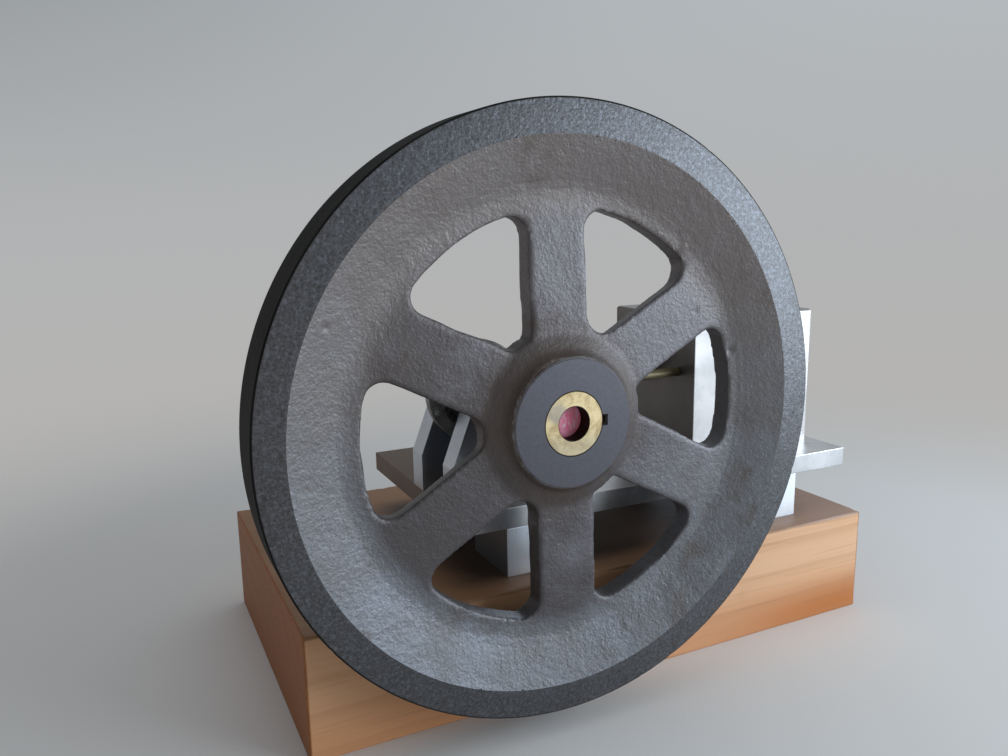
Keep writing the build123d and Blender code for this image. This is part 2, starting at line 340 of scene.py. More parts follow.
def tread_colour(g, patch):
    """The tread, coloured near-black as painted shade, with lines turned round it."""
    turning = g.noise(1.0, 3.0, 0.6, where=g.stretch(25, 2400, 25))
    # Painted shade: the tread is coloured near-black, as a face turned away from the light
    shaded_black = g.mix(g.span(turning, 0.30, 0.70), (0.016, 0.015, 0.015), (0.036, 0.034, 0.032))
    return g.mix(g.span(patch, 0.40, 0.75, 0.0, 0.45), shaded_black, (0.013, 0.012, 0.012))


def cast_iron():
    """Sand-cast grey iron with a turned rim band and hub faces and a tread coloured near-black as
    painted shade.
    """
    g = material("cast_iron")
    from_axle = g.from_axle()
    from_centre = g.from_axle(DISH_OFF_X, DISH_OFF_Z)
    from_dish = g.math("ADD", from_centre, g.math("SUBTRACT", g.noise(90), 0.5))
    # The dish and the band are equally thick at the ridge, where this sum comes to the value below
    beyond = g.math("ADD", g.math("MULTIPLY", from_centre, DISH_RISE),
                    g.math("MULTIPLY", from_axle, BAND_FALL))
    ridge = DISH_RISE * DISH_R - WEB_HALF + RIM_HALF + BAND_FALL * WHEEL_R
    band = g.span(beyond, ridge - 0.05, ridge + 0.05)
    tread = g.span(from_axle, WHEEL_R - 0.75, WHEEL_R - 0.45)
    depth = g.math("ABSOLUTE", g.math("SUBTRACT", g.axis("Y"), AXLE.y))
    hub_depth = abs(WHEEL_FRONT - AXLE.y)
    hub_face = g.math("MULTIPLY", g.span(from_axle, HUB_R + 0.2, HUB_R),
                      g.span(depth, hub_depth - 0.5 * MM, hub_depth - 0.35 * MM))
    lathed = g.math("MAXIMUM", band, hub_face)

    sand = g.noise(1500, 3.0, 0.6)
    lumps = g.noise(520, 2.0, 0.5)
    grit = g.cells(900)
    patch = g.noise(45, 5.0, 0.6, warp=0.4)
    rings = g.rings(from_axle, 0.42)
    iron, rust_and_shade = cast_colour(g, from_axle, from_dish, sand, patch)
    colour = g.mix(hub_face, iron, hub_colour(g, from_axle, rings, sand))
    colour = g.mix(band, colour, band_colour(g, rings, sand, grit, patch))
    colour = g.mix(tread, colour, tread_colour(g, patch))
    point = g.pointed()
    rough_cast = g.math("SUBTRACT", g.span(beyond, ridge - 0.7, ridge - 1.6), hub_face)
    worn = g.math("MULTIPLY", g.span(point, 0.53, 0.60), g.span(g.noise(130), 0.35, 0.6))
    worn = g.math("MULTIPLY", worn, rough_cast)
    # Darker in the concave corners of the skin: dirt, and painted shade in the hollows
    pocket = g.math("MULTIPLY", g.span(point, 0.485, 0.42), rough_cast)
    colour = g.mix(g.math("MULTIPLY", pocket, 0.7), colour, (0.060, 0.048, 0.040))
    colour = g.mix(g.math("MULTIPLY", worn, 0.5), colour, (0.46, 0.47, 0.50))

    skin = g.span(sand, 0.2, 0.8, 0.54, 0.42)
    rough = g.blend(lathed, skin, g.span(rings, 0.2, 0.8, 0.43, 0.49))
    rough = g.blend(tread, rough, 0.80)
    metal = g.blend(lathed, g.span(rust_and_shade, 0.1, 0.9, 0.6, 0.25), 0.9)
    relief = g.math("ADD", sand, g.math("MULTIPLY", grit, 0.5))
    relief = g.math("ADD", relief, g.math("MULTIPLY", lumps, 1.6))
    keep = g.blend(band, g.math("SUBTRACT", 1.0, hub_face), 0.60)
    relief = g.math("MULTIPLY", relief, keep)
    tooling = g.math("MULTIPLY", rings, lathed)
    normal = g.bump(tooling, 0.008, g.bump(relief, 0.12))
    return g.set(Base_Color=colour, Roughness=rough, Metallic=metal, Normal=normal)


def oily_shaded_top(g, wood, tone):
    """The top's handled, oily look, made darker partly as painted shade: paler at its right end as
    painted light, and nearly black below the bed plate, partly oily staining and partly painted shadow
    of the plate.
    """
    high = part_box("timber_base")[1]
    front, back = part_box("bed_plate")
    along = g.axis("X")
    top = g.span(g.axis("Z"), high.z - 1.4 * MM, high.z - 0.5 * MM)
    # Painted shade, in part: the whole top is made a darker oily brown
    oiled_and_shaded = g.mix(g.span(tone, 0.3, 0.7), (0.225, 0.110, 0.055), (0.315, 0.170, 0.094))
    # Painted light: the right end of the top, out from under the bed plate, is paler
    pale = g.span(along, high.x - 55 * MM, high.x - 15 * MM, 0.0, 0.8)
    oiled_and_shaded = g.mix(pale, oiled_and_shaded, (0.48, 0.335, 0.285))
    wood = g.mix(g.math("MULTIPLY", top, 0.85), wood, oiled_and_shaded)
    # Painted shadow, in part: below the bed plate the top goes nearly black, partly oily staining and
    # partly the plate's shadow
    drift = g.math("ADD", g.axis("Y"), g.math("MULTIPLY", g.noise(30, 3.0, 0.5), 12 * MM))
    soaked_and_shaded = g.math("MULTIPLY", g.span(drift, front.y, front.y + 14 * MM),
                    g.span(drift, back.y + 16 * MM, back.y, 0.0, 0.82))
    soaked_and_shaded = g.math("MULTIPLY", soaked_and_shaded, g.span(along, front.x - 10 * MM, front.x + 14 * MM))
    soaked_and_shaded = g.math("MULTIPLY", soaked_and_shaded, g.span(along, high.x - 8 * MM, high.x - 45 * MM, 0.12, 1.0))
    return g.mix(g.math("MULTIPLY", top, soaked_and_shaded), wood, (0.050, 0.036, 0.028))


def end_grain(g, wood, late):
    """The two sawn ends, darker and full of pores."""
    low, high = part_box("timber_base")
    along = g.axis("X")
    left = g.span(along, low.x + 1.0 * MM, low.x + 0.3 * MM)
    right = g.span(along, high.x - 1.0 * MM, high.x - 0.3 * MM)
    pores = g.noise(1400, 2.0, 0.6)
    cut = g.mix(g.span(pores, 0.35, 0.7), (0.28, 0.090, 0.024), (0.385, 0.140, 0.040))
    cut = g.mix(g.math("MULTIPLY", late, 0.5), cut, (0.26, 0.095, 0.036))
    return g.mix(g.math("MAXIMUM", left, right), wood, cut)


def timber():
    """Softwood sawn along X, with growth rings about a heart below the block."""
    g = material("timber")
    sway = g.noise(6, 2.0, where=g.stretch(0.30, 1, 1))
    heart = g.vector("SUBTRACT", g.place, TIMBER_HEART)
    ring = g.math("MULTIPLY", g.vector("LENGTH", g.vector("MULTIPLY", heart, (0.05, 1, 1))), 1 / MM)
    ring = g.math("ADD", ring, g.math("MULTIPLY", sway, 34))
    beat = g.math("FRACT", g.math("MULTIPLY", ring, 1 / RING_PITCH))
    late = g.math("MULTIPLY", g.span(beat, 0.55, 0.94), g.span(beat, 1.0, 0.94))
    fibre = g.noise(1100, 4.0, 0.65, where=g.stretch(0.02, 1, 1))
    line = g.noise(330, 2.0, 0.5, where=g.stretch(0.035, 1, 1))
    tone = g.noise(15, 3.0, 0.5, where=g.stretch(0.25, 1, 1))
    wood = g.mix(g.span(tone, 0.3, 0.7), (0.725, 0.400, 0.215), (0.795, 0.474, 0.282))
    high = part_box("timber_base")[1]
    # Painted reflection, in part: low on the block, most at the front and the right end, the wood
    # turns deeper orange, partly its own tone and partly warm light reflected from below
    warm_foot_reflection = g.span(g.axis("Z"), high.z * 0.6, high.z * 0.1)
    warm_foot_reflection = g.math("MULTIPLY", warm_foot_reflection, g.span(g.axis("Y"), high.y, 0.0, 0.45, 0.92))
    warm_foot_reflection = g.math("MULTIPLY", warm_foot_reflection, g.span(g.axis("X"), 20 * MM, high.x - 10 * MM, 0.45, 1.0))
    wood = g.mix(warm_foot_reflection, wood, (0.49, 0.152, 0.029))
    wood = g.mix(g.math("MULTIPLY", late, 0.26), wood, (0.46, 0.205, 0.085))
    wood = g.mix(g.span(fibre, 0.5, 0.80, 0.0, 0.34), wood, (0.40, 0.190, 0.085))
    wood = g.mix(g.span(line, 0.64, 0.74, 0.0, 0.20), wood, (0.34, 0.150, 0.065))
    wood = oily_shaded_top(g, wood, tone)
    wood = end_grain(g, wood, late)
    stain = g.noise(22, 4.0, 0.6)
    wood = g.mix(g.span(stain, 0.58, 0.78, 0.0, 0.25), wood, (0.24, 0.120, 0.065))
    rough = g.span(fibre, 0.2, 0.8, 0.46, 0.60)
    grain = g.math("ADD", g.math("MULTIPLY", fibre, 0.7), g.math("MULTIPLY", late, 0.3))
    return g.set(Base_Color=wood, Roughness=rough, Specular_IOR_Level=0.3, Normal=g.bump(grain, 0.09))


def aluminium(name, pale, dull, streak, scale, depth, rough):
    """Cut aluminium with tool marks drawn out along the axes of the streak, and along X on top."""
    g = material(name)
    marks = g.noise(scale, 3.0, 0.65, where=g.stretch(*streak))
    brushed = g.noise(scale, 3.0, 0.65, where=g.stretch(0.04, 1, 1))
    marks = g.blend(g.span(g.facing(0, 0, 1), 0.8, 0.95), marks, brushed)
    cloud = g.noise(60, 4.0, 0.6)
    spots = g.cells(260)
    colour = g.mix(g.span(cloud, 0.35, 0.7), dull, pale)
    colour = g.mix(g.span(marks, 0.50, 0.80, 0.0, 0.22), colour, (0.42, 0.43, 0.45))
    colour = g.mix(g.span(spots, 0.16, 0.05, 0.0, 0.35), colour, (0.30, 0.30, 0.31))
    shine = g.math("ADD", g.span(marks, 0.2, 0.8, rough - 0.02, rough + 0.03),
                   g.span(cloud, 0.3, 0.7, 0.04, -0.04))
    return g.set(Base_Color=colour, Roughness=shine, Metallic=1.0, Normal=g.bump(marks, depth))


def bed_plate():
    """Sawn plate whose end below the crank is brown, partly with old oily staining and partly painted
    shade, and whose metal above the plate is duller and bluer as painted shade.
    """
    low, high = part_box("bed_plate")
    g = Graph(aluminium("aluminium_plate", (0.78, 0.79, 0.81), (0.61, 0.62, 0.64),
                        (1, 1, 0.06), 900, 0.003, 0.30))
    # Painted shade, in part: the plate's end below the crank turns brown, partly old oily staining and
    # partly shade
    dark_reach = g.math("ADD", g.axis("X"), g.math("MULTIPLY", g.noise(70, 4.0, 0.6), 24 * MM))
    oil_and_shade = g.span(dark_reach, low.x + 56 * MM, low.x + 28 * MM, 0.0, 0.92)
    oil_and_shade = g.math("MULTIPLY", oil_and_shade, g.span(g.axis("Z"), high.z + 0.4 * MM, high.z + 0.1 * MM))
    oil_and_shade = g.math("MULTIPLY", oil_and_shade, g.span(g.axis("Y"), low.y + 0.3 * MM, low.y + 0.8 * MM))
    # Painted shade: what stands above the plate is made duller and bluer
    above = g.span(g.axis("Z"), high.z + 0.1 * MM, high.z + 0.4 * MM, 0.0, 0.6)
    colour = g.mix(above, g.made("Base Color"), (0.40, 0.43, 0.48))
    colour = g.mix(oil_and_shade, colour, (0.170, 0.116, 0.082))
    metal = g.span(oil_and_shade, 0.0, 0.9, 1.0, 0.25)
    rough = g.span(oil_and_shade, 0.0, 0.9, 0.30, 0.60)
    return g.set(Base_Color=colour, Metallic=metal, Roughness=rough, Specular_IOR_Level=0.2)


def bar():
    """Bright bar, with the faces of the posts towards the crank's end darkened, partly grimy and
    partly painted shade.
    """
    g = Graph(aluminium("aluminium_bar", (0.94, 0.95, 0.98), (0.80, 0.85, 0.92),
                        (1, 1, 0.04), 1200, 0.001, 0.42))
    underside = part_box("bed_plate")[0].z
    below = g.span(g.axis("Z"), underside + 0.5 * MM, underside)
    # Painted shade, in part: below the plate, the posts' faces turned from the light are darkened,
    # partly grimy
    grime_and_shade = g.math("MULTIPLY", below, g.span(g.facing(-1, 0, 0), 0.7, 0.95, 0.0, 0.8))
    return g.set(Base_Color=g.mix(grime_and_shade, g.made("Base Color"), (0.13, 0.13, 0.135)))


def cylinder():
    """Milled aluminium, with the end that the rods run into blackened, partly by oily staining and
    partly as painted shade.
    """
    low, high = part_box("cylinder_block")
    g = Graph(aluminium("cylinder", (0.515, 0.490, 0.485), (0.425, 0.405, 0.400),
                        (0.3, 0.3, 1), 500, 0.02, 0.46))
    inner = g.span(g.axis("X"), low.x + 0.5 * MM, low.x + 0.2 * MM)
    height = g.math("ADD", g.axis("Z"), g.math("MULTIPLY", g.noise(60), 20 * MM))
    # Painted shade, in part: the end turned from the light is blackened, more so lower down, partly
    # oily staining
    oil_and_shade = g.math("MULTIPLY", inner, g.span(height, high.z + 10 * MM, high.z - 12 * MM, 0.80, 0.95))
    return g.set(Base_Color=g.mix(oil_and_shade, g.made("Base Color"), (0.150, 0.135, 0.125)))


def turned_metal(name, pale, dark, rough, centre, across):
    """Lathe-turned metal: fine rings about an axis, scratches and dark spots."""
    g = material(name)
    rings = g.rings(g.radius(centre, across), 0.4)
    along = [1.0 if a else 0.05 for a in across]
    scratch = g.noise(600, 2.0, 0.7, where=g.stretch(*along))
    patina = g.noise(170, 5.0, 0.7, warp=0.8)
    nicks = g.noise(520, 3.0, 0.7, warp=1.5)
    colour = g.mix(g.span(patina, 0.32, 0.60), dark, pale)
    colour = g.mix(g.span(scratch, 0.60, 0.78, 0.0, 0.35), colour, dark)
    colour = g.mix(g.span(nicks, 0.64, 0.72, 0.0, 0.7), colour, [v * 0.45 for v in dark])
    shine = g.span(rings, 0.2, 0.8, rough - 0.07, rough + 0.10)
    height = g.math("ADD", rings, g.math("MULTIPLY", g.math("ADD", scratch, nicks), 0.5))
    return g.set(Base_Color=colour, Roughness=shine, Metallic=1.0, Normal=g.bump(height, 0.04))


def brass():
    """Turned brass: a dull stain on the wheel's bush, its lower part duller as painted shade, the
    bores and the seam round the bush darkened, partly grimy and partly painted shade, and a rod
    coloured brighter and less metallic as painted light.
    """
    g = Graph(turned_metal("brass", (0.66, 0.53, 0.31), (0.40, 0.29, 0.15), 0.48, AXLE, (1, 0, 1)))
    spot = g.radius((AXLE.x - 6.4 * MM, 0, AXLE.z + 4.2 * MM), (1, 0, 1))
    spot = g.math("ADD", spot, g.math("MULTIPLY", g.noise(420, 3.0, 0.6), 3.0))
    metal = g.mix(g.span(spot, 6.0, 3.6, 0.0, 0.72), g.made("Base Color"), (0.34, 0.30, 0.26))
    # Painted shade: the lower part of the bush is made duller and greyer
    dull = g.span(g.axis("Z"), AXLE.z - 1.0 * MM, AXLE.z - 8.0 * MM, 0.0, 0.5)
    metal = g.mix(dull, metal, (0.42, 0.365, 0.270))
    # Painted light: the rod beside the cylinder is coloured brighter and less metallic, as if lit
    rod = g.span(g.axis("X"), AXLE.x + 16 * MM, AXLE.x + 22 * MM)
    metal = g.mix(rod, metal, (1.0, 0.82, 0.45))
    from_axle = g.from_axle()
    # Partly grimy and partly painted shade: the bore wall round the shaft and the seam round the bush
    # are darkened
    inside = g.span(from_axle, SHAFT_R + 0.32, SHAFT_R + 0.18)
    rim = g.math("MULTIPLY", g.span(from_axle, BORE_R - 0.28, BORE_R - 0.12), 0.8)
    grime_and_shade = g.math("MAXIMUM", inside, rim)
    colour = g.mix(grime_and_shade, metal, (0.030, 0.024, 0.018))
    return g.set(Base_Color=colour, Metallic=g.span(rod, 0.0, 1.0, 1.0, 0.5))


def shaft_steel():
    """Bright bar with its front end painted red and scratched."""
    g = material("shaft_steel")
    rings = g.noise(1.0, 2.0, 0.6, where=g.stretch(300, 2600, 300))
    dirt = g.noise(160, 4.0, 0.6)
    steel = g.mix(g.span(dirt, 0.35, 0.7), (0.30, 0.29, 0.28), (0.52, 0.52, 0.53))
    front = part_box("crankshaft")[0].y
    end = g.span(g.axis("Y"), front + 1.2 * MM, front + 0.8 * MM)
    blot = g.noise(330, 4.0, 0.6)
    red = g.mix(g.span(blot, 0.35, 0.7), (0.97, 0.185, 0.320), (0.98, 0.360, 0.500))
    chalk = g.noise(700, 2.0, 0.6, where=g.stretch(1, 1, 0.35), warp=0.6)
    red = g.mix(g.span(chalk, 0.56, 0.68, 0.0, 0.65), red, (0.95, 0.80, 0.86))
    colour = g.mix(end, steel, red)
    shine = g.blend(end, g.span(rings, 0.2, 0.8, 0.24, 0.38), 0.45)
    metal = g.math("SUBTRACT", 1.0, end)
    normal = g.bump(g.math("ADD", rings, chalk), 0.03)
    return g.set(Base_Color=colour, Roughness=shine, Metallic=metal, Normal=normal)


def dark_steel():
    """Blackened steel with rubbed patches."""
    g = material("dark_steel")
    haze = g.noise(120, 5.0, 0.6)
    grain = g.noise(1300, 2.0, 0.6)
    rubbed = g.noise(480, 3.0, 0.7)
    colour = g.mix(g.span(haze, 0.35, 0.7), (0.200, 0.194, 0.188), (0.360, 0.352, 0.338))
    colour = g.mix(g.span(rubbed, 0.62, 0.72, 0.0, 0.5), colour, (0.30, 0.29, 0.27))
    shine = g.span(haze, 0.3, 0.7, 0.40, 0.52)
    return g.set(Base_Color=colour, Roughness=shine, Metallic=0.75, Normal=g.bump(grain, 0.04))


MATERIALS = {
    "timber": timber(),
    "aluminium_plate": bed_plate(),
    "aluminium_bar": bar(),
    "cylinder": cylinder(),
    "cast_iron": cast_iron(),
    "shaft_steel": shaft_steel(),
    "dark_steel": dark_steel(),
    "rod_steel": turned_metal("rod_steel", (0.58, 0.58, 0.59), (0.36, 0.35, 0.34), 0.30,
                              middle("piston_rod"), (0, 1, 1)),
    "brass": brass(),
}
# How far sharp edges are broken on the nodes of each slot, in millimetres
EDGES = {"aluminium_plate": 0.25, "aluminium_bar": 0.3, "cylinder": 0.3, "brass": 0.15,
         "rod_steel": 0.25, "dark_steel": 0.2, "shaft_steel": 0.15}


def link(name, mesh, body, slot):
    """Adds a piece that rides on a body and takes a slot's finish."""
    piece = bpy.data.objects.new(name, mesh)
    bpy.context.scene.collection.objects.link(piece)
    mesh.materials.clear()
    mesh.materials.append(MATERIALS[slot])
    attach(piece, body)
    return piece


@contextmanager
def opened(mesh):
    """Opens a mesh for editing and writes it back afterwards."""
    bm = bmesh.new()
    bm.from_mesh(mesh)
    yield bm
    bm.to_mesh(mesh)
    bm.free()


def fine_mesh(node, voxel, rounds):
    """An even, fine copy of a CAD node's skin."""
    scratch = bpy.data.objects.new("scratch", NODES[node].data.copy())
    bpy.context.scene.collection.objects.link(scratch)
    grid = scratch.modifiers.new("grid", "REMESH")
    grid.mode = "VOXEL"
    grid.voxel_size = voxel * MM
    ease = scratch.modifiers.new("ease", "SMOOTH")
    ease.factor = 0.5
    ease.iterations = rounds
    graph = bpy.context.evaluated_depsgraph_get()
    mesh = bpy.data.meshes.new_from_object(scratch.evaluated_get(graph))
    bpy.data.objects.remove(scratch)
    mesh.shade_smooth()
    return mesh


def columns(source, name):
    """A mesh's points or normals as rows of three numbers."""
    values = np.zeros(len(source) * 3)
    source.foreach_get(name, values)
    return values.reshape(-1, 3)


def step(values, low, high):
    """Eases numbers from 0 at one value to 1 at another."""
    t = np.clip((values - low) / (high - low), 0, 1)
    return t * t * (3 - 2 * t)


def rough_field(points, size, seed):
    """Smooth noise from -1 to 1 with bumps of about a size in millimetres."""
    shift = Vector((seed * 17.3, seed * 5.1, seed * 9.7))
    return np.array([noise.noise(Vector(p) / (size * MM) + shift) for p in points])


def ease_corner(mesh, radius, reach, rounds):
    """Fills the hollow corner at a radius of the wheel, as a casting does."""
    centre = Vector((AXLE.x + DISH_OFF_X * MM, 0, AXLE.z + DISH_OFF_Z * MM))
    with opened(mesh) as bm:
        ring = []
        for vert in bm.verts:
            gap = Vector((vert.co.x, 0, vert.co.z)) - centre
            if abs(gap.length / MM - radius) < reach and abs(vert.normal.y) > 0.85:
                ring.append(vert)
        for _ in range(rounds):
            bmesh.ops.smooth_vert(bm, verts=ring, factor=0.5, use_axis_y=True)


def soften(mesh, chosen, rounds):
    """Smooths the chosen points of a mesh."""
    with opened(mesh) as bm:
        verts = [vert for vert, wanted in zip(bm.verts, chosen) if wanted]
        for _ in range(rounds):
            bmesh.ops.smooth_vert(bm, verts=verts, factor=0.5, use_axis_x=True, use_axis_y=True,
                                  use_axis_z=True)


def mend(mesh):
    """Merges points that meet and drops faces with no area."""
    with opened(mesh) as bm:
        bmesh.ops.remove_doubles(bm, verts=bm.verts[:], dist=MEND_GAP * MM)
        bmesh.ops.dissolve_degenerate(bm, dist=MEND_GAP * MM, edges=bm.edges[:])


def band_half(radius):
    """Half thickness of the wheel at its turned band."""
    return RIM_HALF + BAND_FALL * (WHEEL_R - radius)


def dish_half(radius):
    """Half thickness of the wheel on the slope of its dish, by distance from the dish's centre."""
    return WEB_HALF + DISH_RISE * (radius - DISH_R)


def to_dish(radius, turn):
    """Distance from the dish's centre of a point about the axle."""
    return np.hypot(radius * np.cos(turn) - DISH_OFF_X, radius * np.sin(turn) - DISH_OFF_Z)


def ridge_line(turn):
    """Radius of the ridge between the band and the dish, whose centre is off the axle."""
    radius = np.full_like(turn, RIDGE_R)
    for _ in range(12):
        radius -= (dish_half(to_dish(radius, turn)) - band_half(radius)) / (DISH_RISE + BAND_FALL)
    return radius


class CastSkin:
    """The points of the wheel's skin, with their places about the axle in millimetres."""

    def __init__(self, mesh):
        self.place = columns(mesh.vertices, "co")
        self.normal = columns(mesh.vertex_normals, "vector")
        self.across = (self.place[:, 0] - AXLE.x) / MM
        self.up = (self.place[:, 2] - AXLE.z) / MM
        self.deep = (self.place[:, 1] - AXLE.y) / MM
        self.from_axle = np.hypot(self.across, self.up)
        self.ridge = ridge_line(np.arctan2(self.up, self.across))
        wall = step(np.abs(self.normal[:, 1]), 0.8, 0.4)
        wall *= step(self.from_axle, HUB_R + 1, HUB_ROOT_R - 4)
        self.wall = wall * step(self.from_axle, HOLE_R + 7, HOLE_R + 3)

    def sink(self):
        """Draws the skin in under the turned faces and trues its slope up to the ridge."""
        half = np.abs(self.deep)
        from_dish = np.hypot(self.across - DISH_OFF_X, self.up - DISH_OFF_Z)
        outside = self.from_axle > self.ridge
        on_ridge = np.abs(self.from_axle - self.ridge) < RIDGE_SNAP
        sloped = step(self.from_axle, self.ridge - 6, self.ridge - 4) * (half > WEB_HALF) * ~outside
        half += sloped * (dish_half(from_dish) - half)
        half = np.where(outside, half * (1 - SUNK_BAND / band_half(self.from_axle)), half)
        half = np.where(on_ridge, band_half(self.ridge), half)
        half = np.where(self.from_axle < HUB_R + 0.3, half * (1 - SUNK_HUB / HUB_HALF), half)
        inward = self.ridge + (self.from_axle - self.ridge) * (1 - SUNK_TREAD / (WHEEL_R - self.ridge))
        reach = np.where(on_ridge, self.ridge, np.where(outside, inward, self.from_axle))
        shrink = reach / self.from_axle
        self.place[:, 0] = AXLE.x + self.across * shrink * MM
        self.place[:, 1] = AXLE.y + np.sign(self.deep) * half * MM
        self.place[:, 2] = AXLE.z + self.up * shrink * MM

    def roughen(self):
        """Lumps, sand and flaws all over, and waves in the walls of the spoke holes."""
        cast = step(self.from_axle, self.ridge - 0.4, self.ridge - 3)
        cast *= step(self.from_axle, HUB_R + 0.8, HUB_R + 3)
        lumps = 0.14 * rough_field(self.place, 10, 1)
        sand = 0.06 * rough_field(self.place, 2.6, 2)
        waves = 0.10 + 0.35 * rough_field(self.place * (1, 0.3, 1), 8, 3)
        shift = lumps + sand + self.wall * waves
        for x, z, size, rise in FLAWS:
            spot = np.exp(-((self.across - x) ** 2 + (self.up - z) ** 2) / (0.5 * size) ** 2)
            shift += (self.deep < 0) * rise * spot
        self.place += self.normal * (cast * shift * MM)[:, None]

    def bend_spokes(self):
        """Moves the uneven sides of the spokes, and tells how far each wall took part."""
        moved = np.zeros(len(self.place))
        through = np.clip(self.deep / WEB_HALF / 2 + 0.5, 0, 1)
        for turn, side, reach, start, end, at_front, at_back in UNEVEN:
            angle = math.radians(turn)
            along = self.across * math.cos(angle) + self.up * math.sin(angle)
            over = side * (self.up * math.cos(angle) - self.across * math.sin(angle))
            near = step(along, start, start + 8) * step(along, end, end - 14)
            near *= step(over, reach - 7, reach - 1) * step(over, reach + 8, reach + 4)
            push = at_front + (at_back - at_front) * through
            self.place[:, 0] -= near * push * side * math.sin(angle) * MM
            self.place[:, 2] += near * push * side * math.cos(angle) * MM
            moved = np.maximum(moved, near * self.wall)
        return moved


def cast_wheel():
    """The wheel as cast: wavy spoke holes, lumpy web and flaws, sunk under the turned faces."""
    mesh = fine_mesh("flywheel", WHEEL_VOXEL, 2)
    ease_corner(mesh, DISH_R, 4.5, 40)
    skin = CastSkin(mesh)
    skin.sink()
    skin.roughen()
    moved = skin.bend_spokes()
    mesh.vertices.foreach_set("co", skin.place.ravel())
    mesh.update()
    soften(mesh, moved > 0.1, 2)
    mend(mesh)
    mesh.set_sharp_from_angle(angle=math.radians(50))
    wheel = link("cast_flywheel", mesh, CRANK_BODY, "cast_iron")
    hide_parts("flywheel")


def turned(name, turn, rows, centre=AXLE, body=CRANK_BODY, slot="cast_iron"):
    """A closed ring about a line along Y, from rows of radius and depth in millimetres."""
    points = []
    for radius, depth in rows:
        radius = radius + 0 * turn
        place = (centre.x + radius * np.cos(turn) * MM, centre.y + (depth + 0 * turn) * MM,
                 centre.z + radius * np.sin(turn) * MM)
        points.append(np.stack(place, axis=1))
    count = len(turn)
    faces = []
    for row in range(len(rows)):
        here, there = row * count, (row + 1) % len(rows) * count
        for k in range(count):
            beside = (k + 1) % count
            faces.append((here + k, here + beside, there + beside, there + k))
    mesh = bpy.data.meshes.new(name)
    mesh.from_pydata(np.concatenate(points).tolist(), [], faces)
    with opened(mesh) as bm:
        bmesh.ops.recalc_face_normals(bm, faces=bm.faces[:])
    mesh.shade_smooth()
    mesh.set_sharp_from_angle(angle=math.radians(20))
    link(name, mesh, body, slot)


def turned_rim():
    """The band and tread, turned true, with a slightly wandering ridge and nicked edges."""
    turn = np.linspace(0, 2 * math.pi, 1080, endpoint=False)
    circle = np.stack([np.cos(turn), np.sin(turn), 0 * turn], axis=1) * WHEEL_R * MM
    ridge = ridge_line(turn)
    crest = band_half(ridge)
    lip = ridge - RIM_LAP
    nicks = NICK_DEPTH * step(rough_field(circle, 4, 7), 0.45, 0.7)
    edge = WHEEL_R - RIM_BREAK - nicks
    front = [(lip, RIM_LAP_SUNK - dish_half(to_dish(lip, turn))),
             (ridge, -crest),
             (edge, -band_half(edge)),
             (WHEEL_R - 0.6 * nicks, TREAD_BREAK - RIM_HALF)]
    turned("turned_rim", turn, front + [(radius, -depth) for radius, depth in reversed(front)])


def turned_hub(name, side):
    """One turned face of the hub, with its keyway beside the bush."""
    floor = BORE_R + KEYWAY_DEPTH
    inner_turn = math.atan(KEYWAY_HALF / floor)
    outer_turn = math.asin(KEYWAY_HALF / BORE_R)
    slot = np.linspace(-inner_turn, inner_turn, 5)
    rest = np.linspace(outer_turn, 2 * math.pi - outer_turn, 240)
    turn = np.concatenate([slot, rest])
    bore = np.concatenate([floor / np.cos(slot), np.full_like(rest, BORE_R)])
    rows = [(HUB_R + HUB_LAP * HUB_FLARE - HUB_BREAK, HUB_HALF - HUB_LAP),
            (HUB_R + 2 * HUB_BREAK * HUB_FLARE, HUB_HALF - 2 * HUB_BREAK),
            (HUB_R - HUB_BREAK, HUB_HALF),
            (bore + BORE_BREAK, HUB_HALF),
            (bore, HUB_HALF - HUB_BREAK),
            (bore, HUB_HALF - HUB_LAP)]
    turned(name, turn, [(radius, side * depth) for radius, depth in rows])


def stack(bm, loops):
    """A closed solid from loops of points, one above the other."""
    rings = [[bm.verts.new(point) for point in loop] for loop in loops]
    for under, over in zip(rings, rings[1:]):
        for k in range(len(under)):
            after = (k + 1) % len(under)
            bm.faces.new((under[k], under[after], over[after], over[k]))
    bm.faces.new(rings[0])
    bm.faces.new(rings[-1])


def screw_loop(centre, angles, scale, rise):
    """Part of the screw's outline, turned to its slot, shrunk about its middle and raised."""
    turn = math.radians(SCREW_TURN)
    middle_up = np.sin(angles).mean() * SCREW_R
    points = []
    for angle in angles:
        across = math.cos(angle) * SCREW_R * scale
        up = middle_up + (math.sin(angle) * SCREW_R - middle_up) * scale
        points.append((centre.x + (across * math.cos(turn) - up * math.sin(turn)) * MM,
                       centre.y - rise * MM,
                       centre.z + (across * math.sin(turn) + up * math.cos(turn)) * MM))
    return points


